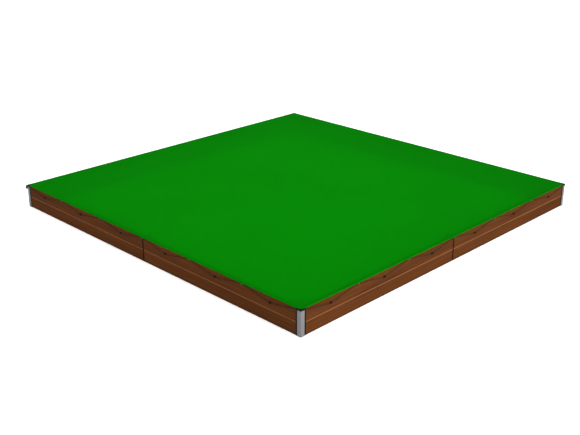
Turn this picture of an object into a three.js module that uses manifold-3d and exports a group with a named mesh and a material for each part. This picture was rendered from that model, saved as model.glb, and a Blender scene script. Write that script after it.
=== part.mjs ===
// Square timber sandbox with a stretched fabric cover.
// Millimetres, +Z up. The origin is at the middle of the base, on the ground.
// Every wall is drawn once as the front wall (outer face on y = -HALF) and turned about Z.
//   u: along the wall, b: depth inwards from the wall's outer face, z: height above the ground.
import * as THREE from 'three';
import Module from 'manifold-3d';
import { mergeVertices } from 'three/addons/utils/BufferGeometryUtils.js';

const wasm = await Module();
wasm.setup();

// ---- driving dimensions -------------------------------------------------
const SIDE = 4000;              // outer face to outer face
const HALF = SIDE / 2;
const HEIGHT = 240;             // wall height
const BOARD_H = 120;            // height of one board
const BOARD_T = 45;             // board thickness
const BOARD_END = 56.5;         // board end to the corner
const MID_GAP = 18;             // gap between the two boards at mid-side
const TONGUE_H = 10;            // tongue on top of the lower board
const LAP = 0.3;                // clearance between stacked boards

const POST_PROUD = 4;           // corner profile stands this far out of the boards
const POST_FACE = 36.5;         // corner profile's visible face ends here
const FLANGE_DEPTH = 45.4;      // front of the flanges that lie behind the boards
const POST_WALL = 3;
const POST_R = 8;               // outer rounding of the corner profile
const FLANGE_END = 80;          // end of the flange behind the boards
const POST_TOP = 229.7;
const CAP_BOTTOM = 230;         // black cap fills the top of the profile

const MID_POST = 50;            // square tube behind the mid-side joint
const MID_POST_TOP = 236;

const HOOKS_PER_SIDE = 6;
const HOOK_PITCH = SIDE / HOOKS_PER_SIDE;
const HOOK_Z = 184;             // hook's axis
const HOOK_STEM_R = 3.5;
const HOOK_HEAD_R = 10;
const HOOK_SHANK_R = 2.5;
const HOOK_HOLE_R = 2.9;
const HOOK_DEPTH = 25;

const CORD_R = 2.5;
const CORD_LOW = HOOK_Z - HOOK_STEM_R - CORD_R - 0.4;   // under the hook's stem
const CORD_HIGH = 232;          // at the hem of the cover
const CORD_OUT_HOOK = 6;        // cord centre to the board's face, at a hook
const CORD_OUT_HEM = 5.2;       // the same, between two hooks
const CORD_OUT_CORNER = 8.2;    // the same, round a corner profile

const COVER_EDGE = 2003;        // half width of the cover
const COVER_Z = 240.3;
const COVER_T = 2;
const COVER_R = 40;             // its corners are rounded and leave the black caps bare

// ---- materials ----------------------------------------------------------
const COLOURS = {
  wood: [0x6e4124, 0.72, 0.0],
  aluminium: [0xa8a5a8, 0.38, 0.9],
  black: [0x17120e, 0.6, 0.0],
  cord: [0x1c1d18, 0.8, 0.0],
  cover: [0x0a8408, 0.75, 0.0],
};
const material = (kind) => {
  const [color, roughness, metalness] = COLOURS[kind];
  return new THREE.MeshStandardMaterial({ name: kind, color, roughness, metalness });
};

// ---- helpers --------------------------------------------------------------
const bare = (geometry) => {
  const g = geometry.clone();
  g.deleteAttribute('normal');
  g.deleteAttribute('uv');
  return mergeVertices(g, 1e-4);
};

const solid = (geometry) => {
  const g = bare(geometry);
  return new wasm.Manifold(new wasm.Mesh({
    numProp: 3,
    vertProperties: new Float32Array(g.attributes.position.array),
    triVerts: new Uint32Array(g.index.array),
  }));
};

const geometryOf = (manifold) => {
  const m = manifold.getMesh();
  const g = new THREE.BufferGeometry();
  g.setAttribute('position', new THREE.BufferAttribute(new Float32Array(m.vertProperties), 3));
  g.setIndex(new THREE.BufferAttribute(new Uint32Array(m.triVerts), 1));
  g.computeVertexNormals();
  return g;
};

const mesh = (name, geometry, kind) => {
  const m = new THREE.Mesh(geometry, material(kind));
  m.name = name;
  return m;
};

// A box given by its low and high corners.
const box = (low, high) => {
  const g = new THREE.BoxGeometry(high[0] - low[0], high[1] - low[1], high[2] - low[2]);
  g.translate((low[0] + high[0]) / 2, (low[1] + high[1]) / 2, (low[2] + high[2]) / 2);
  return g;
};

// A closed outline of [x, y] points; a third number rounds that corner by that radius.
const outline = (points, segments = 4, path = new THREE.Shape()) => {
  const n = points.length;
  const out = [];
  for (let i = 0; i < n; i++) {
    const p = new THREE.Vector2(points[i][0], points[i][1]);
    const r = points[i][2] || 0;
    if (!r) { out.push(p); continue; }
    const a = new THREE.Vector2(...points[(i + n - 1) % n].slice(0, 2)).sub(p).normalize();
    const c = new THREE.Vector2(...points[(i + 1) % n].slice(0, 2)).sub(p).normalize();
    const half = Math.acos(THREE.MathUtils.clamp(a.dot(c), -1, 1)) / 2;
    const reach = r / Math.tan(half);
    const mid = a.clone().add(c).normalize().multiplyScalar(r / Math.sin(half)).add(p);
    const from = a.multiplyScalar(reach).add(p);
    const to = c.multiplyScalar(reach).add(p);
    let t0 = Math.atan2(from.y - mid.y, from.x - mid.x);
    let t1 = Math.atan2(to.y - mid.y, to.x - mid.x);
    if (t1 - t0 > Math.PI) t1 -= 2 * Math.PI;
    if (t0 - t1 > Math.PI) t1 += 2 * Math.PI;
    for (let s = 0; s <= segments; s++) {
      const t = t0 + (t1 - t0) * s / segments;
      out.push(new THREE.Vector2(mid.x + r * Math.cos(t), mid.y + r * Math.sin(t)));
    }
  }
  path.setFromPoints(out);
  return path;
};

const prism = (shape, depth, z = 0) => {
  const g = new THREE.ExtrudeGeometry(shape, { depth, bevelEnabled: false, steps: 1 });
  g.translate(0, 0, z);
  return g;
};

// Extrudes a section drawn in (b, z) along u, from u0 to u1.
const alongWall = (shape, u0, u1) => {
  const g = new THREE.ExtrudeGeometry(shape, { depth: u1 - u0, bevelEnabled: false, steps: 1 });
  g.applyMatrix4(new THREE.Matrix4().makeBasis(
    new THREE.Vector3(0, 1, 0), new THREE.Vector3(0, 0, 1), new THREE.Vector3(1, 0, 0)));
  g.translate(u0, 0, 0);
  return g;
};

// ---- boards -----------------------------------------------------------------
// Lower board: tongue on top, a chamfered outer top edge that shows as a line along the joint.
const lowerSection = outline([
  [2, 0], [BOARD_T - 2, 0], [BOARD_T, 2], [BOARD_T, BOARD_H - 2], [BOARD_T - 2, BOARD_H],
  [28, BOARD_H], [27.2, BOARD_H + TONGUE_H], [17.8, BOARD_H + TONGUE_H], [17, BOARD_H],
  [5, BOARD_H], [0, BOARD_H - 5], [0, 2],
]);
// Upper board: groove below, eased edges on top.
const upperSection = outline([
  [2, BOARD_H + LAP], [16.4, BOARD_H + LAP], [17.2, BOARD_H + TONGUE_H + 0.8],
  [27.8, BOARD_H + TONGUE_H + 0.8], [28.6, BOARD_H + LAP], [BOARD_T - 2, BOARD_H + LAP],
  [BOARD_T, BOARD_H + LAP + 2], [BOARD_T, HEIGHT - 2], [BOARD_T - 2, HEIGHT],
  [3, HEIGHT], [0, HEIGHT - 3], [0, BOARD_H + LAP + 2],
]);
const hookU = (i) => -HALF + HOOK_PITCH * (i + 0.5);

const boardPair = (half) => {
  const u0 = half === 1 ? -(HALF - BOARD_END) : MID_GAP / 2;
  const u1 = half === 1 ? -MID_GAP / 2 : HALF - BOARD_END;
  const lower = alongWall(lowerSection, u0, u1);
  let upper = solid(alongWall(upperSection, u0, u1));
  for (let i = 0; i < HOOKS_PER_SIDE; i++) {
    const u = hookU(i);
    if (u < u0 || u > u1) continue;
    const drill = new THREE.CylinderGeometry(HOOK_HOLE_R, HOOK_HOLE_R, HOOK_DEPTH + 5, 10);
    drill.translate(u, (HOOK_DEPTH + 5) / 2 - 5 + 0.5, HOOK_Z);
    upper = upper.subtract(solid(drill));
  }
  return { lower, upper: geometryOf(upper) };
};

// ---- corner profile and cap ---------------------------------------------------
// p and q are the depths behind the two outer faces that meet at the corner.
const near = -POST_PROUD;
const face = POST_FACE;
const inner = POST_FACE - POST_WALL;
const flange = FLANGE_DEPTH;
const back = FLANGE_DEPTH + POST_WALL;
const postShape = outline([
  [near, near, POST_R], [face, near], [face, inner], [back, inner], [back, flange],
  [FLANGE_END, flange], [FLANGE_END, back], [back, back], [back, FLANGE_END],
  [flange, FLANGE_END], [flange, back], [inner, back], [inner, face], [near, face],
]);
postShape.holes.push(outline([
  [near + POST_WALL, near + POST_WALL, POST_R - POST_WALL], [near + POST_WALL, inner],
  [inner, inner], [inner, near + POST_WALL],
], 4, new THREE.Path()));

const cornerPost = () => prism(postShape, POST_TOP);

const SEAL_FROM = POST_FACE + 0.3;
const SEAL_TO = BOARD_END - 0.3;
const SEAL_DEPTH = POST_FACE - POST_WALL - 0.4;
const cornerCap = () => {
  const top = prism(outline([
    [near, near, POST_R], [face, near], [face, 0], [SEAL_TO, 0], [SEAL_TO, SEAL_DEPTH],
    [SEAL_DEPTH, SEAL_DEPTH], [SEAL_DEPTH, SEAL_TO], [0, SEAL_TO], [0, face], [near, face],
  ]), HEIGHT - CAP_BOTTOM, CAP_BOTTOM);
  const legA = box([SEAL_FROM, 0, 0], [SEAL_TO, SEAL_DEPTH, HEIGHT - 2]);
  const legB = box([0, SEAL_FROM, 0], [SEAL_DEPTH, SEAL_TO, HEIGHT - 2]);
  return geometryOf(solid(top).add(solid(legA)).add(solid(legB)));
};

// ---- mid-side post and joint strip ----------------------------------------------
const midPost = () => {
  const h = MID_POST / 2;
  const b0 = BOARD_T + 0.4;
  const b1 = b0 + MID_POST;
  const outer = prism(outline([[-h, b0, 3], [h, b0, 3], [h, b1, 3], [-h, b1, 3]], 2), MID_POST_TOP);
  const hollow = box([-h + 3, b0 + 3, -10], [h - 3, b1 - 3, MID_POST_TOP - 3]);
  return geometryOf(solid(outer).subtract(solid(hollow)));
};
const STRIP = MID_GAP / 2 - 0.4;
const midStrip = () => prism(outline([
  [-STRIP, 2], [1 - STRIP, 1], [STRIP - 1, 1], [STRIP, 2], [STRIP, BOARD_T], [-STRIP, BOARD_T],
]), HEIGHT - 1.5);

// ---- hook ---------------------------------------------------------------------------
// A turned knob on a screw, drawn about the b axis; b is negative outside the wall.
const hookProfile = [
  [0, -16], [6.6, -15.6], [HOOK_HEAD_R, -13.4], [HOOK_HEAD_R, -11], [8, -9.8],
  [HOOK_STEM_R, -9.8], [HOOK_STEM_R, -2], [6, -2], [6, -0.4],
  [HOOK_SHANK_R, -0.4], [HOOK_SHANK_R, HOOK_DEPTH - 4], [0, HOOK_DEPTH - 1],
].map(([r, b]) => new THREE.Vector2(r, b));
const hook = () => new THREE.LatheGeometry(hookProfile, 10);

// ---- elastic cord -------------------------------------------------------------------------
// One open cord: it starts under the clamp at the front left corner, runs once round the box,
// down to every hook and up to the hem between them, and ends under the clamp again.
const SLOPE = (CORD_HIGH - CORD_LOW) / (HOOK_PITCH / 2);
const HEM_W = 40;               // half length of the bend at the hem
const DIP_W = 8;                // half length of the bend under a hook
const CLAMP_V = 4.2;            // the two cord ends lie this far off the diagonal
const CLAMP_U = (HALF + CORD_OUT_CORNER) * Math.SQRT2 - CLAMP_V;
const END_X = (CLAMP_U - CLAMP_V) / Math.SQRT2;   // distance of a hanging end from the middle
const END_BEND = 8;
const END_Z = 194;

const cordPoints = () => {
  const all = [];
  const put = (k, u, out, z) => {
    const t = k * Math.PI / 2;
    const x = u;
    const y = -HALF - out;
    all.push(new THREE.Vector3(
      x * Math.cos(t) - y * Math.sin(t), x * Math.sin(t) + y * Math.cos(t), z));
  };
  const arc0 = HALF + POST_PROUD - POST_R;          // the corner rounding's centre
  const arcR = CORD_OUT_CORNER + HALF - arc0;
  for (let k = 0; k < 4; k++) {
    let u0 = -arc0;
    if (k === 0) {
      put(0, -END_X, CORD_OUT_CORNER, END_Z);
      put(0, -END_X, CORD_OUT_CORNER, CORD_HIGH - END_BEND - 3);
      for (let s = 0; s < 4; s++) {
        const t = s / 4 * Math.PI / 2;
        put(0, -END_X + END_BEND * (1 - Math.cos(t)), CORD_OUT_CORNER,
          CORD_HIGH - END_BEND * (1 - Math.sin(t)));
      }
      u0 = -END_X + END_BEND;
    }
    put(k, u0, CORD_OUT_CORNER, CORD_HIGH);
    for (const d of [HEM_W / 2, HEM_W]) {
      put(k, u0 + d, CORD_OUT_CORNER - 2.2 * d / 330, CORD_HIGH - SLOPE * d * d / (2 * HEM_W));
    }
    for (let i = 0; i < HOOKS_PER_SIDE; i++) {
      const u = hookU(i);
      for (const d of [-DIP_W, 0, DIP_W]) {
        put(k, u + d, CORD_OUT_HOOK, CORD_LOW + SLOPE * d * d / (2 * DIP_W));
      }
      if (i === HOOKS_PER_SIDE - 1) break;
      for (const d of [-HEM_W, -HEM_W / 2, 0, HEM_W / 2, HEM_W]) {
        put(k, u + HOOK_PITCH / 2 + d, CORD_OUT_HEM, CORD_HIGH - SLOPE * d * d / (2 * HEM_W));
      }
    }
    const u1 = k === 3 ? END_X - END_BEND : arc0;
    for (const d of [HEM_W, HEM_W / 2]) {
      put(k, u1 - d, CORD_OUT_CORNER - 2.2 * d / 330, CORD_HIGH - SLOPE * d * d / (2 * HEM_W));
    }
    put(k, u1, CORD_OUT_CORNER, CORD_HIGH);
    if (k < 3) {
      for (const a of [22.5, 45, 67.5]) {
        const t = a * Math.PI / 180;
        put(k, arc0 + arcR * Math.sin(t), arc0 + arcR * Math.cos(t) - HALF, CORD_HIGH);
      }
    } else {
      for (let s = 3; s >= 0; s--) {
        const t = s / 4 * Math.PI / 2;
        put(3, END_X - END_BEND * (1 - Math.cos(t)), CORD_OUT_CORNER,
          CORD_HIGH - END_BEND * (1 - Math.sin(t)));
      }
      put(3, END_X, CORD_OUT_CORNER, CORD_HIGH - END_BEND - 3);
      put(3, END_X, CORD_OUT_CORNER, END_Z);
    }
  }
  return all;
};

// A path whose parameter steps evenly from one given point to the next.
class Polyline extends THREE.Curve {
  constructor(points) { super(); this.points = points; }
  getPoint(t, target = new THREE.Vector3()) {
    const f = THREE.MathUtils.clamp(t, 0, 1) * (this.points.length - 1);
    const i = Math.min(Math.floor(f + 1e-9), this.points.length - 2);
    return target.copy(this.points[i]).lerp(this.points[i + 1], f - i);
  }
  getPointAt(t, target) { return this.getPoint(t, target); }
  getTangentAt(t, target = new THREE.Vector3()) {
    const i = Math.round(t * (this.points.length - 1));
    const a = this.points[Math.max(i - 1, 0)];
    const b = this.points[i];
    const c = this.points[Math.min(i + 1, this.points.length - 1)];
    const before = i > 0 ? b.clone().sub(a).normalize() : new THREE.Vector3();
    const after = c !== b ? c.clone().sub(b).normalize() : new THREE.Vector3();
    return target.copy(before).add(after).normalize();
  }
}

const ring = (r, n) => {
  const shape = new THREE.Shape();
  shape.setFromPoints(Array.from({ length: n }, (_, i) => new THREE.Vector2(
    r * Math.cos(2 * Math.PI * i / n), r * Math.sin(2 * Math.PI * i / n))));
  return shape;
};

const elasticCord = () => {
  const points = cordPoints();
  return new THREE.ExtrudeGeometry(ring(CORD_R, 8), {
    steps: points.length - 1, bevelEnabled: false, extrudePath: new Polyline(points),
  });
};

// The clamp that joins the cord's two ends, on the diagonal outside the front left corner.
// Drawn with x outwards along the diagonal and y across it, then turned.
const cordClamp = () => {
  const inside = (HALF + POST_PROUD - POST_R) * Math.SQRT2 + POST_R + 0.45;
  const g = prism(outline([
    [inside, -9.2, 1.2], [inside + 9.9, -9.2, 4], [inside + 9.9, 9.2, 4], [inside, 9.2, 1.2],
  ], 3), 20, 202);
  const grip = prism(outline([
    [inside + 9, -4.5, 0.5], [inside + 18, -4.5, 4.4], [inside + 18, 4.5, 4.4], [inside + 9, 4.5, 0.5],
  ], 4), 42, 196);
  let body = solid(g).add(solid(grip));
  for (const v of [-CLAMP_V, CLAMP_V]) {
    const hole = prism(ring(CORD_R + 0.4, 10), 40, 192);
    hole.translate(CLAMP_U, v, 0);
    body = body.subtract(solid(hole));
  }
  const out = geometryOf(body);
  out.rotateZ(-3 * Math.PI / 4);
  return out;
};

// ---- cover --------------------------------------------------------------------------------
const cover = () => prism(outline([
  [-COVER_EDGE, -COVER_EDGE, COVER_R], [COVER_EDGE, -COVER_EDGE, COVER_R],
  [COVER_EDGE, COVER_EDGE, COVER_R], [-COVER_EDGE, COVER_EDGE, COVER_R],
], 8), COVER_T, COVER_Z);

// ---- assembly -----------------------------------------------------------------------------
const sandbox = new THREE.Group();
const SIDES = ['front', 'right', 'back', 'left'];
const CORNERS = ['front_right', 'back_right', 'back_left', 'front_left'];

SIDES.forEach((side, k) => {
  const turned = new THREE.Group();
  turned.rotation.z = k * Math.PI / 2;
  const wall = new THREE.Group();          // (u, b, z) of this wall
  wall.position.y = -HALF;
  turned.add(wall);

  for (const half of [1, 2]) {
    const { lower, upper } = boardPair(half);
    wall.add(mesh(`board_${side}_${half}_lower`, lower, 'wood'));
    wall.add(mesh(`board_${side}_${half}_upper`, upper, 'wood'));
  }
  wall.add(mesh(`mid_post_${side}`, midPost(), 'aluminium'));
  wall.add(mesh(`mid_seal_${side}`, midStrip(), 'black'));
  for (let i = 0; i < HOOKS_PER_SIDE; i++) {
    const h = mesh(`hook_${side}_${i + 1}`, hook(), 'black');
    h.position.set(hookU(i), 0, HOOK_Z);
    wall.add(h);
  }

  const corner = new THREE.Group();        // (p, q, z) of the corner at this wall's right end
  corner.position.set(HALF, -HALF, 0);
  corner.rotation.z = Math.PI / 2;
  corner.add(mesh(`corner_post_${CORNERS[k]}`, cornerPost(), 'aluminium'));
  corner.add(mesh(`corner_cap_${CORNERS[k]}`, cornerCap(), 'black'));
  turned.add(corner);
  sandbox.add(turned);
});

sandbox.add(mesh('elastic_cord', elasticCord(), 'cord'));
sandbox.add(mesh('cord_clamp', cordClamp(), 'black'));
sandbox.add(mesh('cover_sheet', cover(), 'cover'));

export default sandbox;
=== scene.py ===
"""Looks for the square timber sandbox with a stretched cover. Metres, +Z up, in the CAD frame."""
import math

import bmesh
import bpy
import numpy as np
from mathutils import Matrix, Vector


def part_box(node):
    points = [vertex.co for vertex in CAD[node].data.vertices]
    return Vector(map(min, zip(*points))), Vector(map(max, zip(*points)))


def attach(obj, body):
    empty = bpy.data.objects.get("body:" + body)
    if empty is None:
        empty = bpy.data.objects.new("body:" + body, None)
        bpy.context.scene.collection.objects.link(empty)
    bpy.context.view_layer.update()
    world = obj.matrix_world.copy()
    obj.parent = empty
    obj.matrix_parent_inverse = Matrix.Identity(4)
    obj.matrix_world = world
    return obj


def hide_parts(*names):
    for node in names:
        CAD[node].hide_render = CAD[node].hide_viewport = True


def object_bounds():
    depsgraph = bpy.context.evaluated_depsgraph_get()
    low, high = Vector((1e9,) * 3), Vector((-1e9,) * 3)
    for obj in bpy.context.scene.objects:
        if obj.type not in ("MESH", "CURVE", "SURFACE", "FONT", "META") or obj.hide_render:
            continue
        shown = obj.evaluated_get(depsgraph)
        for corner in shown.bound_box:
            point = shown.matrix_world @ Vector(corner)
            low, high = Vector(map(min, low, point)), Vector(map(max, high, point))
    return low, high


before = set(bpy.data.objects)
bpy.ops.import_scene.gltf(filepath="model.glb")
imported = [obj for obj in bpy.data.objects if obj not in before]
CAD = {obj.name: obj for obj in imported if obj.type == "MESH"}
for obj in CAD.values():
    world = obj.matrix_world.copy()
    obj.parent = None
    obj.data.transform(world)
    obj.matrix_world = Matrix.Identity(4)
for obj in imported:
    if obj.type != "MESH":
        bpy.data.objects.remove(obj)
cad_lo, cad_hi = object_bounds()
rng = np.random.default_rng(7)
bpy.context.scene.view_settings.view_transform = "Standard"

# ---- sizes, from the CAD boxes ------------------------------------------------------
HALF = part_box("board_right_1_lower")[1].x            # outer face of the boards
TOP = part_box("corner_cap_front_left")[1].z           # top of the walls
SIDES = ["front", "right", "back", "left"]
CORNERS = ["front_right", "back_right", "back_left", "front_left"]
HOOKS = 6
PITCH = 2 * HALF / HOOKS
HOOK_Z = sum(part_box("hook_front_1")[i].z for i in (0, 1)) / 2
MM = 0.001


def turn(k):
    """Turns the front wall's frame into that of wall k."""
    return Matrix.Rotation(k * math.pi / 2, 4, "Z")


# ---- mesh helpers -------------------------------------------------------------------
def add_object(name, verts, faces, body, smooth=True, uv=None):
    me = bpy.data.meshes.new(name)
    me.from_pydata([tuple(map(float, v)) for v in verts], [], [tuple(map(int, f)) for f in faces])
    me.validate()
    if smooth:
        me.shade_smooth()
    if uv is not None:
        layer = me.uv_layers.new(name="along")
        layer.data.foreach_set("uv", np.asarray(uv, np.float32).ravel())
    me.update()
    o = bpy.data.objects.new(name, me)
    bpy.context.scene.collection.objects.link(o)
    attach(o, body)
    return o


def lathe(profile, segments, frame4):
    """A turned solid: profile of (radius, height) from axis to axis, placed by frame4 (height is its z)."""
    verts, faces, rings = [], [], []
    for r, h in profile:
        if r < 1e-9:
            rings.append([len(verts)])
            verts.append(frame4 @ Vector((0, 0, h)))
        else:
            ring = []
            for s in range(segments):
                a = 2 * math.pi * s / segments
                ring.append(len(verts))
                verts.append(frame4 @ Vector((r * math.cos(a), r * math.sin(a), h)))
            rings.append(ring)
    for a, b in zip(rings, rings[1:]):
        for s in range(segments):
            t = (s + 1) % segments
            if len(a) == 1:
                faces.append((a[0], b[t], b[s]))
            elif len(b) == 1:
                faces.append((a[s], a[t], b[0]))
            else:
                faces.append((a[s], a[t], b[t], b[s]))
    return verts, faces


def flat_shade_by_angle(o, degrees=35):
    o.data.shade_smooth()
    o.data.set_sharp_from_angle(angle=math.radians(degrees))


# ---- material helpers ---------------------------------------------------------------
class Tree:
    def __init__(self, name):
        self.mat = bpy.data.materials.new(name)
        self.mat.use_nodes = True
        self.t = self.mat.node_tree
        self.t.nodes.clear()

    def n(self, kind, inputs=None, out=0, **attrs):
        node = self.t.nodes.new("ShaderNode" + kind)
        for k, v in attrs.items():
            setattr(node, k, v)
        for k, v in (inputs or {}).items():
            if isinstance(v, bpy.types.NodeSocket):
                self.t.links.new(v, node.inputs[k])
            else:
                node.inputs[k].default_value = v
        return node if out is None else node.outputs[out]

    def math(self, op, a, b=None, c=None, clamp=False):
        ins = {0: a}
        if b is not None:
            ins[1] = b
        if c is not None:
            ins[2] = c
        return self.n("Math", ins, operation=op, use_clamp=clamp)

    def mix(self, fac, a, b, blend="MIX"):
        node = self.n("Mix", None, out=None, data_type="RGBA", blend_type=blend)
        for key, v in ((0, fac), (6, a), (7, b)):
            if isinstance(v, bpy.types.NodeSocket):
                self.t.links.new(v, node.inputs[key])
            else:
                node.inputs[key].default_value = v
        return node.outputs[2]

    def band(self, value, centre, half, soft):
        """1 where value is within half of centre, falling to 0 over soft."""
        away = self.math("ABSOLUTE", self.math("SUBTRACT", value, centre))
        return self.n("MapRange", {0: away, 1: half, 2: half + soft, 3: 1.0, 4: 0.0}, interpolation_type="SMOOTHSTEP")

    def ramp(self, value, low, high, to_low=0.0, to_high=1.0):
        return self.n("MapRange", {0: value, 1: low, 2: high, 3: to_low, 4: to_high}, interpolation_type="SMOOTHSTEP")

    def noise(self, vector, scale, detail=2.0, rough=0.5, out=0):
        return self.n("TexNoise", {"Vector": vector, "Scale": scale, "Detail": detail, "Roughness": rough}, out=out)

    def scaled(self, vector, x, y, z, shift=(0, 0, 0)):
        return self.n("Mapping", {"Vector": vector, "Scale": (x, y, z), "Location": shift})

    def output(self, shader):
        o = self.t.nodes.new("ShaderNodeOutputMaterial")
        self.t.links.new(shader, o.inputs["Surface"])
        return self.mat


def rgba(r, g, b):
    return (r, g, b, 1.0)


# ---- wood: brown stain on planed softwood, grain along the board -------------------------
WOOD_DARK = rgba(0.0286, 0.0079, 0.0017)
WOOD_MID = rgba(0.0619, 0.0185, 0.0044)
WOOD_LIGHT = rgba(0.0913, 0.0296, 0.0077)
# light colour for the arrises: worn stain and a painted highlight
WOOD_WORN_AND_LIT = rgba(0.2050, 0.0840, 0.0390)


def wood(name, along_x, seed, pith_z):
    t = Tree(name)
    r = np.random.default_rng(seed)
    where = t.n("TexCoord", out=3)
    sep = t.n("SeparateXYZ", {0: where}, out=None)
    x, y, z = sep.outputs[0], sep.outputs[1], sep.outputs[2]
    along, deep = (x, y) if along_x else (y, x)
    shift = [float(v) for v in r.uniform(-5, 5, 3)]
    v = t.n("CombineXYZ", {0: along, 1: deep, 2: z})
    # slow wander of the grain along the board
    wander = t.noise(t.scaled(v, 1.1, 5, 5, shift), 1.0, 2.0)
    wander2 = t.noise(t.scaled(v, 2.7, 16, 16, shift), 1.0, 2.0)
    # rings about a pith that lies off the board
    dz = t.math("ADD", t.math("SUBTRACT", z, pith_z), t.math("MULTIPLY", t.math("SUBTRACT", wander, 0.5), 0.085))
    dd = t.math("ADD", t.math("ABSOLUTE", deep), 0.035 - HALF)
    radius = t.math("SQRT", t.math("ADD", t.math("MULTIPLY", dz, dz), t.math("MULTIPLY", dd, dd)))
    radius = t.math("ADD", radius, t.math("MULTIPLY", wander2, 0.006))
    ring = t.math("FRACT", t.math("MULTIPLY", radius, 210.0))
    late = t.math("MULTIPLY", t.math("POWER", ring, 2.4), t.ramp(ring, 1.0, 0.9))
    fibre = t.noise(t.scaled(v, 14, 1100, 1100, shift), 1.0, 3.0, 0.6)
    streak = t.noise(t.scaled(v, 1.6, 95, 95, shift), 1.0, 3.0, 0.55)
    stain = t.noise(t.scaled(v, 0.9, 9, 9, shift), 1.0, 3.0, 0.5)
    # small sound knots
    knot = t.n("TexVoronoi", {"Vector": t.scaled(v, 2.1, 11, 11, shift), "Scale": 1.0, "Randomness": 1.0}, out=0)
    knot = t.ramp(knot, 0.10, 0.03)
    tone = t.math("ADD", t.math("MULTIPLY", streak, 0.75), t.math("MULTIPLY", fibre, 0.25))
    tone = t.ramp(tone, 0.30, 0.72)
    colour = t.mix(tone, WOOD_MID, WOOD_LIGHT)
    colour = t.mix(t.math("MULTIPLY", late, 0.42), colour, WOOD_DARK)
    colour = t.mix(t.ramp(stain, 0.42, 0.75, 0.0, 0.35), colour, WOOD_DARK)
    colour = t.mix(t.math("MULTIPLY", knot, 0.55), colour, WOOD_DARK)
    # the arrises are lighter, partly stain worn off and partly a painted highlight where the chamfers face the light;
    # the foot is darker towards the bottom
    edge = t.math("MAXIMUM", t.band(z, 0.1170, 0.0034, 0.0014), t.band(z, 0.2390, 0.0012, 0.0012))
    patchy = t.ramp(t.noise(t.scaled(v, 9, 60, 60, shift), 1.0, 3.0), 0.25, 0.6, 0.70, 1.0)
    # painted highlight and wear: the chamfer lines are mixed towards the light worn colour
    colour = t.mix(t.math("MULTIPLY", t.math("MULTIPLY", edge, patchy), 0.80), colour, WOOD_WORN_AND_LIT)
    # darker towards the bottom of the boards, in patches
    foot = t.math("MULTIPLY", t.ramp(z, 0.020, 0.002), t.ramp(t.noise(t.scaled(v, 22, 60, 60), 1.0, 3.0), 0.30, 0.60, 0.5, 1.0))
    colour = t.mix(t.math("MULTIPLY", foot, 0.65), colour, WOOD_DARK)
    rough = t.math("ADD", t.math("MULTIPLY", fibre, 0.22), 0.58)
    high = t.math("SUBTRACT", t.math("MULTIPLY", fibre, 0.6), t.math("MULTIPLY", late, 0.35))
    bump = t.n("Bump", {"Strength": 0.35, "Distance": 0.0006, "Height": high})
    p = t.n("BsdfPrincipled", {"Base Color": colour, "Roughness": rough, "Normal": bump, "Specular IOR Level": 0.015})
    return t.output(p)


# ---- aluminium extrusion: fine draw lines along Z, a few scuffs -----------------------------
def aluminium():
    t = Tree("aluminium_extrusion")
    where = t.n("TexCoord", out=3)
    lines = t.noise(t.scaled(where, 1500, 1500, 6), 1.0, 2.0, 0.6)
    cloud = t.noise(t.scaled(where, 30, 30, 12), 1.0, 3.0)
    scuff = t.ramp(t.noise(t.scaled(where, 160, 160, 900, (3, 1, 2)), 1.0, 4.0, 0.7), 0.66, 0.74)
    tone = t.math("ADD", t.math("MULTIPLY", lines, 0.4), t.math("MULTIPLY", cloud, 0.6))
    colour = t.mix(tone, rgba(0.096, 0.091, 0.097), rgba(0.136, 0.130, 0.137))
    colour = t.mix(t.math("MULTIPLY", scuff, 0.35), colour, rgba(0.18, 0.172, 0.178))
    rough = t.math("ADD", t.math("MULTIPLY", cloud, 0.14), t.math("ADD", t.math("MULTIPLY", lines, 0.12), 0.38))
    bump = t.n("Bump", {"Strength": 0.12, "Distance": 0.0002, "Height": lines})
    p = t.n("BsdfPrincipled", {"Base Color": colour, "Roughness": rough, "Normal": bump, "Metallic": 0.15})
    return t.output(p)


# ---- screws: zinc-plated steel ------------------------------------------------------------
def steel():
    t = Tree("zinc_steel")
    where = t.n("TexCoord", out=3)
    spangle = t.noise(t.scaled(where, 700, 700, 700), 1.0, 3.0)
    colour = t.mix(spangle, rgba(0.40, 0.40, 0.38), rgba(0.62, 0.61, 0.57))
    rough = t.math("ADD", t.math("MULTIPLY", spangle, 0.25), 0.22)
    p = t.n("BsdfPrincipled", {"Base Color": colour, "Roughness": rough, "Metallic": 1.0})
    return t.output(p)


# ---- moulded black plastic -------------------------------------------------------------------
def plastic(name, low, high, rough0, shine, grain=900, strength=0.25):
    t = Tree(name)
    where = t.n("TexCoord", out=3)
    fine = t.noise(t.scaled(where, grain, grain, grain), 1.0, 2.0)
    dust = t.noise(t.scaled(where, 45, 45, 45), 1.0, 4.0)
    colour = t.mix(t.ramp(dust, 0.35, 0.75), low, high)
    rough = t.math("ADD", t.math("MULTIPLY", dust, 0.18), rough0)
    bump = t.n("Bump", {"Strength": strength, "Distance": 0.00015, "Height": fine})
    p = t.n("BsdfPrincipled", {"Base Color": colour, "Roughness": rough, "Normal": bump, "Specular IOR Level": shine})
    return t.output(p)


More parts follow.
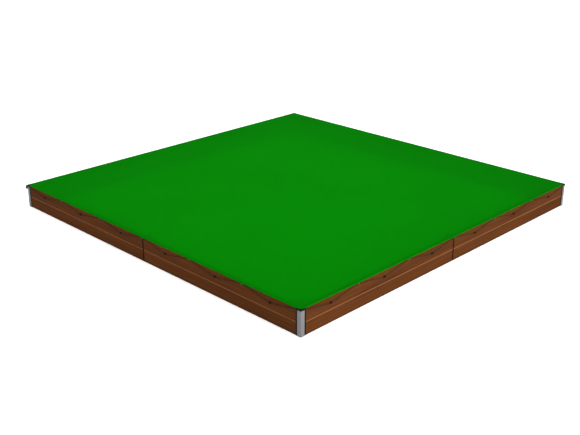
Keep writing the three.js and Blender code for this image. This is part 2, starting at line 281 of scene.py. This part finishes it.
# ---- braided jacket of the elastic cord -----------------------------------------------------------
def braid():
    t = Tree("cord_braid")
    uv = t.n("UVMap", uv_map="along")
    sep = t.n("SeparateXYZ", {0: uv}, out=None)
    u, v = sep.outputs[0], sep.outputs[1]
    turns = t.math("MULTIPLY", v, 8.0)
    steps = t.math("MULTIPLY", u, 1 / 0.0052)
    a = t.math("SINE", t.math("MULTIPLY", t.math("ADD", steps, turns), 2 * math.pi))
    b = t.math("SINE", t.math("MULTIPLY", t.math("SUBTRACT", steps, turns), 2 * math.pi))
    strand = t.math("MAXIMUM", a, b)
    over = t.math("GREATER_THAN", a, b)
    strand01 = t.ramp(strand, -0.6, 1.0)
    tracer = t.math("MULTIPLY", over, t.math("GREATER_THAN", t.math("SINE", t.math(
        "MULTIPLY", t.math("ADD", steps, turns), 2 * math.pi / 8)), 0.86))
    wear = t.noise(t.n("TexCoord", out=3), 60.0, 3.0)
    colour = t.mix(strand01, rgba(0.0080, 0.0058, 0.0040), rgba(0.0300, 0.0220, 0.0150))
    colour = t.mix(t.math("MULTIPLY", tracer, 0.25), colour, rgba(0.070, 0.066, 0.044))
    colour = t.mix(t.ramp(wear, 0.55, 0.8, 0.0, 0.3), colour, rgba(0.045, 0.035, 0.025))
    bump = t.n("Bump", {"Strength": 0.6, "Distance": 0.0004, "Height": strand01})
    p = t.n("BsdfPrincipled", {"Base Color": colour, "Roughness": 0.78, "Normal": bump, "Specular IOR Level": 0.05})
    return t.output(p)


# ---- cover fabric: coated plain weave that lets a little green light through -----------------------
GREEN = rgba(0.0008, 0.1970, 0.0008)
GREEN_DEEP = rgba(0.0007, 0.1865, 0.0007)


def fabric(name, see=0.0, light=0.0, weave=0.0021, deep=GREEN_DEEP, pale=GREEN, strength=0.22):
    t = Tree(name)
    where = t.n("TexCoord", out=3)
    sep = t.n("SeparateXYZ", {0: where}, out=None)
    x, y = sep.outputs[0], sep.outputs[1]
    wx = t.math("SINE", t.math("MULTIPLY", x, 2 * math.pi / weave))
    wy = t.math("SINE", t.math("MULTIPLY", y, 2 * math.pi / weave))
    cloth = t.math("MULTIPLY", wx, wy)
    threads = t.math("MAXIMUM", t.math("MULTIPLY", wx, wx), t.math("MULTIPLY", wy, wy))
    high = t.math("ADD", t.math("MULTIPLY", cloth, 0.5), t.math("MULTIPLY", threads, 0.5))
    cloud = t.noise(t.scaled(where, 1.3, 1.3, 1.3), 1.0, 3.0, 0.55)
    handled = t.noise(t.scaled(where, 9, 9, 9, (4, 4, 0)), 1.0, 4.0, 0.6)
    colour = t.mix(t.ramp(cloud, 0.35, 0.68), deep, pale)
    colour = t.mix(t.ramp(handled, 0.52, 0.80, 0.0, 0.10), colour, rgba(0.003, 0.226, 0.002))
    # painted shade: the low places of the weave, between the threads, are mixed towards a darker green
    colour = t.mix(t.ramp(high, -0.5, 1.0, 0.10, 0.0), colour, rgba(0.0004, 0.115, 0.0004))
    rough = t.math("ADD", t.math("MULTIPLY", handled, 0.15), 0.66)
    bump = t.n("Bump", {"Strength": strength, "Distance": 0.0003, "Height": high})
    p = t.n("BsdfPrincipled", {"Base Color": colour, "Roughness": rough, "Normal": bump, "Specular IOR Level": 0.012})
    if light:
        glow = t.n("BsdfTranslucent", {"Color": rgba(0.004, 0.55, 0.004), "Normal": bump})
        p = t.n("MixShader", {0: light, 1: p, 2: glow})
    if see:
        through = t.n("BsdfTransparent", {"Color": rgba(0.015, 0.93, 0.015)})
        p = t.n("MixShader", {0: see, 1: p, 2: through})
    return t.output(p)


METAL = aluminium()
STEEL = steel()
BLACK = plastic("black_plastic", rgba(0.0036, 0.0022, 0.0015), rgba(0.0066, 0.0042, 0.0030), 0.45, 0.05)
RUBBER = plastic("black_rubber", rgba(0.0045, 0.0026, 0.0016), rgba(0.0085, 0.0052, 0.0034), 0.66, 0.02, 1500, 0.4)
CORD = braid()
COVER = fabric("cover_fabric", see=0.30, light=0.30)
HEM = fabric("cover_webbing", weave=0.0014, deep=rgba(0.0010, 0.142, 0.0010), pale=rgba(0.0012, 0.164, 0.0012), strength=0.4)
THREAD = fabric("stitch_thread", weave=0.0006, deep=rgba(0.0010, 0.150, 0.0010), pale=rgba(0.0012, 0.185, 0.0012), strength=0.5)


# ---- CAD nodes that stay, with materials and eased edges ----------------------------------------------
def ease(o, width, segments=2, angle=28):
    weld = o.modifiers.new("merge", "WELD")
    weld.merge_threshold = 1e-6
    bevel = o.modifiers.new("ease", "BEVEL")
    bevel.width = width
    bevel.segments = segments
    bevel.limit_method = "ANGLE"
    bevel.angle_limit = math.radians(angle)
    bevel.use_clamp_overlap = True
    bevel.harden_normals = False


for k, side in enumerate(SIDES):
    for half in (1, 2):
        for level in ("lower", "upper"):
            o = CAD[f"board_{side}_{half}_{level}"]
            seed = 100 * k + 10 * half + (level == "upper")
            mid = 0.06 if level == "lower" else 0.18
            o.data.materials.clear()
            o.data.materials.append(wood(
                f"stained_wood_{side}_{half}_{level}", k % 2 == 0, seed,
                mid + float(np.random.default_rng(seed).uniform(-0.05, 0.05))))
    for name, mat, slot, width in (
        (f"mid_post_{side}", METAL, "aluminium", 0.0006),
        (f"mid_seal_{side}", RUBBER, "black", 0.0005),
    ):
        o = CAD[name]
        o.data.materials.clear()
        o.data.materials.append(mat)
        ease(o, width)
for corner in CORNERS:
    for name, mat, slot, width in (
        (f"corner_post_{corner}", METAL, "aluminium", 0.0005),
        (f"corner_cap_{corner}", BLACK, "black", 0.0007),
    ):
        o = CAD[name]
        o.data.materials.clear()
        o.data.materials.append(mat)
        ease(o, width)
clamp = CAD["cord_clamp"]
clamp.data.materials.clear()
clamp.data.materials.append(BLACK)
ease(clamp, 0.0009, 3)

# ---- hooks: turned knobs ------------------------------------------------------------------------------
HOOK_PROFILE = [(r * MM, h * MM) for r, h in [
    (0, -24), (1.2, -22.5), (2.5, -19), (2.5, 0.4), (5.75, 0.4), (6.0, 0.6), (6.0, 1.5), (5.8, 1.9), (5.2, 2.15),
    (4.3, 2.4), (3.75, 2.9), (3.5, 3.7), (3.5, 8.4), (3.7, 9.1), (4.3, 9.6), (5.6, 9.85), (7.7, 9.9), (9.0, 10.2),
    (9.7, 10.9), (9.95, 11.8), (9.8, 12.9), (9.2, 14.0), (8.1, 14.8), (6.5, 15.4), (4.6, 15.8), (2.9, 15.95),
    (2.5, 15.85), (2.3, 15.5), (2.2, 14.9), (0, 14.9)]]
for k, side in enumerate(SIDES):
    for i in range(HOOKS):
        u = -HALF + PITCH * (i + 0.5)
        # the lathe's z points out of the wall
        place = turn(k) @ Matrix.Translation((u, -HALF, HOOK_Z)) @ Matrix.Rotation(math.pi / 2, 4, "X")
        verts, faces = lathe(HOOK_PROFILE, 40, place)
        o = add_object(f"knob_{side}_{i + 1}", verts, faces, "frame")
        flat_shade_by_angle(o, 40)
        o.data.materials.append(BLACK)
        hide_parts(f"hook_{side}_{i + 1}")

# ---- the elastic cord's route, as in the CAD --------------------------------------------------------------
CORD_R = 2.5
CORD_LOW = HOOK_Z * 1000 - 3.5 - CORD_R - 0.4
CORD_HIGH = 232.0
OUT_HOOK, OUT_HEM, OUT_CORNER = 6.0, 5.2, 8.2
H = HALF * 1000
P = PITCH * 1000
HEM_W, DIP_W = 40.0, 8.0
SLOPE = (CORD_HIGH - CORD_LOW) / (P / 2)
CLAMP_V = 4.2
END_X = (H + OUT_CORNER) - CLAMP_V * math.sqrt(2)
END_BEND, END_Z = 8.0, 194.0


def cord_route():
    pts = []

    def put(k, u, out, z):
        v = turn(k) @ Vector((u, -H - out, z))
        p = np.array(v) * MM
        if not pts or np.linalg.norm(p - pts[-1]) > 1e-6:
            pts.append(p)

    arc0 = H + 4 - 8
    arc_r = OUT_CORNER + H - arc0
    for k in range(4):
        u0 = -arc0
        if k == 0:
            for z in np.linspace(END_Z, CORD_HIGH - END_BEND - 1, 8):
                put(0, -END_X, OUT_CORNER, z)
            for a in np.linspace(0, math.pi / 2, 10)[:-1]:
                put(0, -END_X + END_BEND * (1 - math.cos(a)), OUT_CORNER, CORD_HIGH - END_BEND * (1 - math.sin(a)))
            u0 = -END_X + END_BEND
        line = []                      # (u, out, z) along this wall
        for d in np.linspace(0, HEM_W, 9):
            line.append((u0 + d, OUT_CORNER - 2.2 * d / 330, CORD_HIGH - SLOPE * d * d / (2 * HEM_W)))
        for i in range(HOOKS):
            u = (-HALF + PITCH * (i + 0.5)) * 1000
            for d in np.linspace(-DIP_W, DIP_W, 9):
                line.append((u + d, OUT_HOOK, CORD_LOW + SLOPE * d * d / (2 * DIP_W)))
            if i < HOOKS - 1:
                for d in np.linspace(-HEM_W, HEM_W, 17):
                    line.append((u + P / 2 + d, OUT_HEM, CORD_HIGH - SLOPE * d * d / (2 * HEM_W)))
        u1 = END_X - END_BEND if k == 3 else arc0
        for d in np.linspace(HEM_W, 0, 9):
            line.append((u1 - d, OUT_CORNER - 2.2 * d / 330, CORD_HIGH - SLOPE * d * d / (2 * HEM_W)))
        for a, b in zip(line, line[1:]):
            put(k, *a)
            steps = int((b[0] - a[0]) // 24)
            for s in range(1, steps + 1):
                f = s / (steps + 1)
                put(k, *(a[j] + (b[j] - a[j]) * f for j in range(3)))
        put(k, *line[-1])
        if k < 3:
            for a in np.linspace(0, math.pi / 2, 9)[1:-1]:
                put(k, arc0 + arc_r * math.sin(a), arc0 + arc_r * math.cos(a) - H, CORD_HIGH)
        else:
            for a in np.linspace(math.pi / 2, 0, 10)[1:]:
                put(3, END_X - END_BEND * (1 - math.cos(a)), OUT_CORNER, CORD_HIGH - END_BEND * (1 - math.sin(a)))
            for z in np.linspace(CORD_HIGH - END_BEND - 1, END_Z, 8):
                put(3, END_X, OUT_CORNER, z)
    return np.array(pts)


def tube(path, radius, sides=14, cap=0.0016):
    """Verts, faces and loop UVs (metres along, turns) of a round tube along an open path, with domed ends."""
    path = np.asarray(path, float)
    n = len(path)
    tan = np.zeros_like(path)
    tan[1:-1] = path[2:] - path[:-2]
    tan[0], tan[-1] = path[1] - path[0], path[-1] - path[-2]
    tan /= np.linalg.norm(tan, axis=1)[:, None]
    normal = np.cross(tan[0], [0.3, 0.9, 0.2])
    normal /= np.linalg.norm(normal)
    along = np.concatenate([[0], np.cumsum(np.linalg.norm(np.diff(path, axis=0), axis=1))])
    verts, rows = [], []
    ang = 2 * math.pi * np.arange(sides) / sides
    for i in range(n):
        normal = normal - tan[i] * normal.dot(tan[i])
        normal /= np.linalg.norm(normal)
        other = np.cross(tan[i], normal)
        rows.append((path[i], normal.copy(), other, along[i], radius))
    rows.insert(0, (path[0] - tan[0] * cap, rows[0][1], rows[0][2], -cap, radius * 0.6))
    rows.append((path[-1] + tan[-1] * cap, rows[-1][1], rows[-1][2], along[-1] + cap, radius * 0.6))
    for c, a, b, _, r in rows:
        for t in ang:
            verts.append(c + r * (math.cos(t) * a + math.sin(t) * b))
    faces, uv = [], []
    for i in range(len(rows) - 1):
        for s in range(sides):
            t = (s + 1) % sides
            faces.append((i * sides + s, i * sides + t, (i + 1) * sides + t, (i + 1) * sides + s))
            u0, u1 = rows[i][3], rows[i + 1][3]
            uv += [(u0, s / sides), (u0, (s + 1) / sides), (u1, (s + 1) / sides), (u1, s / sides)]
    last = (len(rows) - 1) * sides
    faces.append(tuple(reversed(range(sides))))
    uv += [(rows[0][3], s / sides) for s in reversed(range(sides))]
    faces.append(tuple(last + s for s in range(sides)))
    uv += [(rows[-1][3], s / sides) for s in range(sides)]
    return verts, faces, uv, float(along[-1])


route = cord_route()
verts, faces, uv, cord_length = tube(route, CORD_R * MM)
cord = add_object("cord", verts, faces, "cover", uv=uv)
cord.data.materials.append(CORD)
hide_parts("elastic_cord")

# ---- the cover -------------------------------------------------------------------------------------------
SKIN = 0.0007                 # thickness of the fabric
LAY = TOP + 0.00035           # its underside on the walls
INNER = HALF - 0.043          # where it leaves the boards
SAG = 0.016
HEM_IN = 0.0262               # the doubled hem ends this far in


def dist_profile(d):
    """Smooth 0 to 1 over 0 to 1."""
    d = np.clip(d, 0, 1)
    return d * d * (3 - 2 * d)


def cover_height(x, y):
    """Height of the fabric's underside."""
    ax, ay = np.abs(x), np.abs(y)
    tx = np.clip((INNER - ax) / INNER, 0, 1)
    ty = np.clip((INNER - ay) / INNER, 0, 1)
    sag = SAG * (1 - (1 - tx) ** 2) * (1 - (1 - ty) ** 2)
    dx, dy = HALF - ax, HALF - ay
    # slight puckers between the loops that pull at the hem
    puck = 0.00022 * (np.cos(2 * math.pi * (y + HALF) / (PITCH / 3)) * np.exp(-dx / 0.16) * dist_profile(dy / 0.3)
                      + np.cos(2 * math.pi * (x + HALF) / (PITCH / 3)) * np.exp(-dy / 0.16) * dist_profile(dx / 0.3))
    slack = 0.0005 * np.sin(x * 2.3 + 0.7) * np.sin(y * 1.9 + 1.1) * dist_profile(np.minimum(dx, dy) / 0.6)
    lift = dist_profile((np.minimum(dx, dy) - 0.005) / 0.03)
    return LAY - sag + (puck + slack) * lift + 0.00025 * lift * (np.minimum(dx, dy) < 0.05)


CORNER_R = 0.040              # the fabric's corners are rounded
A = HALF - 0.0025


def round_corner(x, y):
    """Moves a point of the square plan onto the plan with rounded corners; also the outward normal there."""
    a, b = abs(x) - (A - CORNER_R), abs(y) - (A - CORNER_R)
    if a > 1e-9 and b > 1e-9:
        length = math.hypot(a, b)
        f = max(a, b) / length
        return (math.copysign(A - CORNER_R + a * f, x), math.copysign(A - CORNER_R + b * f, y),
                math.copysign(a / length, x), math.copysign(b / length, y))
    if a > b:
        return x, y, math.copysign(1.0, x), 0.0
    return x, y, 0.0, math.copysign(1.0, y)


edge_steps = np.array([0, 1.5, 3, 5, 8, 12, 16, 20, 23.6, 25.0, 26.6, 28.2, 31, 35, 40, 45, 52, 60, 72, 86, 102, 120,
                       142, 168, 198, 232, 270, 310, 352]) * MM
lowside = -A + edge_steps
middle = np.linspace(lowside[-1], -lowside[-1], 84)[1:-1]
axis = np.concatenate([lowside, middle, -lowside[::-1]])
n = len(axis)
gx, gy = np.meshgrid(axis, axis, indexing="ij")
gz = cover_height(gx, gy)
# the fabric is double along the hem: its upper face stands one skin higher there
grid = np.stack([gx, gy, gz], -1).reshape(-1, 3)
verts = [(*round_corner(x, y)[:2], z) for x, y, z in grid]
faces = [(i * n + j, (i + 1) * n + j, (i + 1) * n + j + 1, i * n + j + 1) for i in range(n - 1) for j in range(n - 1)]
rim = ([(i, 0) for i in range(n - 1)] + [(n - 1, j) for j in range(n - 1)]
       + [(i, n - 1) for i in range(n - 1, 0, -1)] + [(0, j) for j in range(n - 1, 0, -1)])


def rim_point(x, y, out, drop, flat_out):
    """A rim point: over the boards the edge turns down, over the corner caps it lies flat."""
    px, py, nx, ny = round_corner(x, y)
    along = min(abs(x), abs(y))
    down = 1.0 - float(dist_profile((along - (HALF - 0.072)) / 0.024))
    over = 1.0 - float(dist_profile((along - (HALF - 0.047)) / 0.007))
    o = flat_out + (out - flat_out) * over
    return (px + nx * o, py + ny * o, LAY - drop * down)


previous = [i * n + j for i, j in rim]
for out, drop, flat_out in ((1.7, 0.02, 0.7), (2.7, 0.4, 1.3), (3.1, 1.2, 1.8), (3.2, 3.0, 2.3), (3.2, 5.2, 2.7)):
    ring = []
    for i, j in rim:
        ring.append(len(verts))
        verts.append(rim_point(axis[i], axis[j], out * MM, drop * MM, flat_out * MM))
    m = len(ring)
    faces += [(previous[s], ring[s], ring[(s + 1) % m], previous[(s + 1) % m]) for s in range(m)]
    previous = ring
cover = add_object("cover", verts, faces, "cover")
bm = bmesh.new()
bm.from_mesh(cover.data)
bmesh.ops.recalc_face_normals(bm, faces=bm.faces)
if sum(f.normal.z for f in bm.faces) < 0:
    bmesh.ops.reverse_faces(bm, faces=bm.faces)
bm.to_mesh(cover.data)
bm.free()
cover.data.shade_smooth()
cover.data.materials.append(COVER)
thick = cover.modifiers.new("skin", "SOLIDIFY")
thick.thickness = SKIN
thick.offset = 1.0
thick.use_rim = True
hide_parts("cover_sheet")


def top_of_cover(x, y):
    return float(cover_height(np.float64(x), np.float64(y))) + SKIN


# the doubled hem: a band of fabric sewn on along each edge, mitred at the corners
HEM_OUT = 0.0030
hem_verts, hem_faces = [], []
steps_in = np.array([0, 0.4, 3, 8, 13, 18, 22.4, 22.8]) * MM
lift_in = np.array([0.02, SKIN / MM, SKIN / MM, SKIN / MM, SKIN / MM, SKIN / MM, SKIN / MM, 0.02]) * MM
stations = np.concatenate([np.linspace(-1, -0.97, 25), np.linspace(-0.96, 0.96, 193), np.linspace(0.97, 1, 25)])
for k in range(4):
    base = len(hem_verts)
    for s in stations:
        for d, up in zip(steps_in, lift_in):
            y = -(HALF - HEM_OUT - d)
            x = s * (HALF - HEM_OUT - d)
            v = turn(k) @ Vector((x, y, 0))
            hem_verts.append((*round_corner(v.x, v.y)[:2], top_of_cover(v.x, v.y) + up))
    w = len(steps_in)
    for i in range(len(stations) - 1):
        for j in range(w - 1):
            a = base + i * w + j
            hem_faces.append((a, a + w, a + w + 1, a + 1))
hem = add_object("cover_hem", hem_verts, hem_faces, "cover")
hem.data.materials.append(COVER)

# corner patches: a second layer with a cut-off inner corner
for c, (sx, sy) in enumerate(((1, -1), (1, 1), (-1, 1), (-1, -1))):
    side = 0.150
    m = 24
    pv, pf, index = [], [], {}
    for i in range(m + 1):
        for j in range(m + 1):
            a, b = side * i / m, side * j / m
            if a + b > side * 1.25 + 1e-9:
                continue
            x, y = sx * (HALF - 0.0256 - a), sy * (HALF - 0.0256 - b)
            index[i, j] = len(pv)
            outer = i == 0 or j == 0
            last = i == m or j == m or (i + 1, j) not in index and a + b + side / m > side * 1.25
            pv.append((*round_corner(x, y)[:2], top_of_cover(x, y) + (0.02 * MM if (outer or last) else 0.6 * MM)))
    for (i, j), a in index.items():
        quad = [(i, j), (i + 1, j), (i + 1, j + 1), (i, j + 1)]
        if all(q in index for q in quad):
            pf.append([index[q] for q in quad])
        elif all(q in index for q in (quad[0], quad[1], quad[3])):
            pf.append([index[q] for q in (quad[0], quad[1], quad[3])])
    patch = add_object(f"cover_corner_patch_{CORNERS[c]}", pv, pf, "cover")
    bm = bmesh.new()
    bm.from_mesh(patch.data)
    bmesh.ops.recalc_face_normals(bm, faces=bm.faces)
    if sum(f.normal.z for f in bm.faces) < 0:
        bmesh.ops.reverse_faces(bm, faces=bm.faces)
    bm.to_mesh(patch.data)
    bm.free()
    patch.data.shade_smooth()
    patch.data.materials.append(COVER)

# ---- stitches: one small eight-faced bead for each ---------------------------------------------------------
def stitches(name, runs, up, pitch=0.0062, length=0.0044, width=0.0009, height=0.0005):
    sv, sf = [], []
    for a, b in runs:
        a, b = np.array(a, float), np.array(b, float)
        total = np.linalg.norm(b - a)
        d = (b - a) / total
        count = int(total // pitch)
        for i in range(count):
            c = a + d * (pitch * (i + 0.5) + (total - count * pitch) / 2)
            z = top_of_cover(c[0], c[1]) + up
            base = len(sv)
            first = np.array(round_corner(*(c - d * length / 2))[:2])
            last = np.array(round_corner(*(c + d * length / 2))[:2])
            c = (first + last) / 2
            side = np.array([first[1] - last[1], last[0] - first[0]]) / np.linalg.norm(last - first) * width / 2
            for p, h in ((first, -0.0001), (c - side, 0.0), (last, -0.0001),
                         (c + side, 0.0), (c, height), (c, -height * 0.6)):
                sv.append((p[0], p[1], z + h))
            for q in ((0, 1, 4), (1, 2, 4), (2, 3, 4), (3, 0, 4), (1, 0, 5), (2, 1, 5), (3, 2, 5), (0, 3, 5)):
                sf.append([base + i for i in q])
    o = add_object(name, sv, sf, "cover", smooth=False)
    o.data.materials.append(THREAD)
    return o


rows = []
for inset in (0.0075, 0.0215):
    e = HALF - inset
    for k in range(4):
        a, b = turn(k) @ Vector((-e, -e, 0)), turn(k) @ Vector((e, -e, 0))
        rows.append(((a.x, a.y), (b.x, b.y)))
hem_stitch = stitches("cover_hem_stitching", rows, SKIN + 0.0001)
rows = []
for sx, sy in ((1, -1), (1, 1), (-1, 1), (-1, -1)):
    e = HALF - 0.0256
    inner = 0.150 * 0.97
    cut = 0.150 * 0.25
    pts = [(sx * (e - inner), sy * (e - 0.004)), (sx * (e - inner), sy * (e - cut)),
           (sx * (e - cut), sy * (e - inner)), (sx * (e - 0.004), sy * (e - inner))]
    rows += list(zip(pts, pts[1:]))
patch_stitch = stitches("cover_patch_stitching", rows, 0.0006)

# ---- loops of webbing under the hem that hold the cord between the knobs ---------------------------------------
def loop_section(out, z, inside, top):
    """Closed centre line in (out, z): behind the hem, down round the cord and back up."""
    r = CORD_R + 0.65
    pts = [(inside, top), (inside, z + 2.0)]
    # round the cord, from its wall side under it to its outer side and over
    for a in np.linspace(math.radians(165), math.radians(395), 17):
        o_, z_ = out + r * math.cos(a), z + r * math.sin(a)
        pts.append((max(o_, inside), z_))
    pts += [(inside + 2.4, z + 5.2), (inside + 1.45, top - 1.2), (inside + 1.3, top)]
    return pts


def loops(name, k):
    lv, lf = [], []
    spots = [(-H + P * j, OUT_HEM, CORD_HIGH, 0.45) for j in range(1, HOOKS)]
    for u, out, z, inside in spots:
        line = loop_section(out, z, inside, 239.4)
        wide = 15.0
        path = np.array(line)
        m = len(path)
        tan = np.roll(path, -1, 0) - np.roll(path, 1, 0)
        tan[0], tan[-1] = path[1] - path[0], path[-1] - path[-2]
        tan /= np.linalg.norm(tan, axis=1)[:, None]
        nor = np.stack([-tan[:, 1], tan[:, 0]], 1) * 0.35
        base = len(lv)
        across = (-0.5, -0.47, -0.2, 0.2, 0.47, 0.5)
        for i in range(m):
            for side_, sign in ((0, 1), (1, -1)):
                for a in across:
                    thin = 0.35 if abs(a) == 0.5 else 1.0
                    p = path[i] + nor[i] * sign * thin
                    v = turn(k) @ Vector(((u + a * wide) * MM, -(H + p[0]) * MM, p[1] * MM))
                    lv.append(v)
        w = len(across)
        row = 2 * w
        for i in range(m - 1):
            for j in range(w - 1):
                a = base + i * row + j
                lf.append((a, a + 1, a + row + 1, a + row))
                b = a + w
                lf.append((b, b + row, b + row + 1, b + 1))
            a, b = base + i * row, base + i * row + w
            lf.append((a, a + row, b + row, b))
            a, b = base + i * row + w - 1, base + i * row + 2 * w - 1
            lf.append((a, b, b + row, a + row))
        for i in (0, m - 1):
            a = base + i * row
            for j in range(w - 1):
                quad = (a + j, a + j + 1, a + w + j + 1, a + w + j)
                lf.append(tuple(reversed(quad)) if i == 0 else quad)
    o = add_object(name, lv, lf, "cover")
    bm = bmesh.new()
    bm.from_mesh(o.data)
    bmesh.ops.recalc_face_normals(bm, faces=bm.faces)
    bm.to_mesh(o.data)
    bm.free()
    flat_shade_by_angle(o, 50)
    o.data.materials.append(HEM)
    return o


loop_pieces = [loops(f"cord_loops_{side}", k) for k, side in enumerate(SIDES)]

# ---- screws inside: pan heads on the corner flanges and the mid-side posts -----------------------------------------
SCREW = [(r * MM, h * MM) for r, h in [
    (0, -1.0), (3.2, -1.0), (3.9, -0.2), (5.2, 0.0), (5.3, 0.35), (5.1, 1.3), (4.3, 2.3), (3.0, 2.95), (2.3, 3.1),
    (2.1, 3.0), (2.0, 1.3), (0, 1.1)]]


def screws(name, places):
    sv, sf = [], []
    for m in places:
        v, f = lathe(SCREW, 20, m)
        base = len(sv)
        sv += v
        sf += [[base + i for i in q] for q in f]
    o = add_object(name, sv, sf, "frame")
    flat_shade_by_angle(o, 40)
    o.data.materials.append(STEEL)
    return o


LEVELS = (0.034, 0.086, 0.154, 0.206)
post_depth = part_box("mid_post_front")[1].y + HALF          # inner face of the mid post, from the outer face
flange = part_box("corner_post_front_right")
flange_back = 0.0484
for k, side in enumerate(SIDES):
    place = []
    for z in LEVELS:
        for u in (-0.0165, 0.0165):
            place.append(turn(k) @ Matrix.Translation((u, -HALF + post_depth, z)) @ Matrix.Rotation(-math.pi / 2, 4, "X"))
        for end in (-1, 1):
            place.append(turn(k) @ Matrix.Translation((end * (HALF - 0.0665), -HALF + flange_back, z))
                         @ Matrix.Rotation(-math.pi / 2, 4, "X"))
    screws(f"screws_{side}", place)

# ---- stage, light, camera -----------------------------------------------------------------------------------------------
floor_verts = [(-60, -60, -0.001), (60, -60, -0.001), (60, 60, -0.001), (-60, 60, -0.001)]
me = bpy.data.meshes.new("floor")
me.from_pydata(floor_verts, [], [(0, 1, 2, 3)])
floor = bpy.data.objects.new("floor", me)
bpy.context.scene.collection.objects.link(floor)
t = Tree("floor_white")
me.materials.append(t.output(t.n("AddShader", {
    0: t.n("BsdfDiffuse", {"Color": rgba(0.96, 0.96, 0.96)}),
    1: t.n("Emission", {"Color": rgba(1, 1, 1), "Strength": 0.12})})))

world = bpy.data.worlds.new("studio")
bpy.context.scene.world = world
world.use_nodes = True
wt = world.node_tree
wt.nodes.clear()
co = wt.nodes.new("ShaderNodeTexCoord")
sp = wt.nodes.new("ShaderNodeSeparateXYZ")
wt.links.new(co.outputs["Generated"], sp.inputs[0])
mr = wt.nodes.new("ShaderNodeMapRange")
mr.inputs[1].default_value = 0.0
mr.inputs[2].default_value = 1.0
mr.inputs[3].default_value = 0.42
mr.inputs[4].default_value = 1.55
wt.links.new(sp.outputs[2], mr.inputs[0])
bg = wt.nodes.new("ShaderNodeBackground")
bg.inputs[0].default_value = (1, 1, 1, 1)
wt.links.new(mr.outputs[0], bg.inputs[1])
white = wt.nodes.new("ShaderNodeBackground")
white.inputs[0].default_value = (1, 1, 1, 1)
white.inputs[1].default_value = 1.0
lp = wt.nodes.new("ShaderNodeLightPath")
mx = wt.nodes.new("ShaderNodeMixShader")
wt.links.new(lp.outputs["Is Camera Ray"], mx.inputs[0])
wt.links.new(bg.outputs[0], mx.inputs[1])
wt.links.new(white.outputs[0], mx.inputs[2])
wo = wt.nodes.new("ShaderNodeOutputWorld")
wt.links.new(mx.outputs[0], wo.inputs[0])

key = bpy.data.lights.new("key", "SUN")
key.energy = 3.38
key.angle = math.radians(50)
key_o = bpy.data.objects.new("key", key)
bpy.context.scene.collection.objects.link(key_o)
az, el = math.radians(4), math.radians(29)           # from +X, a little towards +Y
towards = Vector((math.cos(el) * math.cos(az), math.cos(el) * math.sin(az), math.sin(el)))
key_o.rotation_mode = "QUATERNION"
key_o.rotation_quaternion = towards.to_track_quat("Z", "Y")

cam = bpy.data.cameras.new("camera")
cam.lens = 56.105
cam.sensor_width = 36.0
cam.clip_start, cam.clip_end = 0.05, 400
cam_o = bpy.data.objects.new("camera", cam)
bpy.context.scene.collection.objects.link(cam_o)
cam_o.location = (6.253, -6.41604, 0.24 + 3.22528)
cam_o.rotation_mode = "XYZ"
cam_o.rotation_euler = (math.radians(90 - 21.912), 0, math.radians(44.703))
bpy.context.scene.camera = cam_o

bpy.context.view_layer.update()
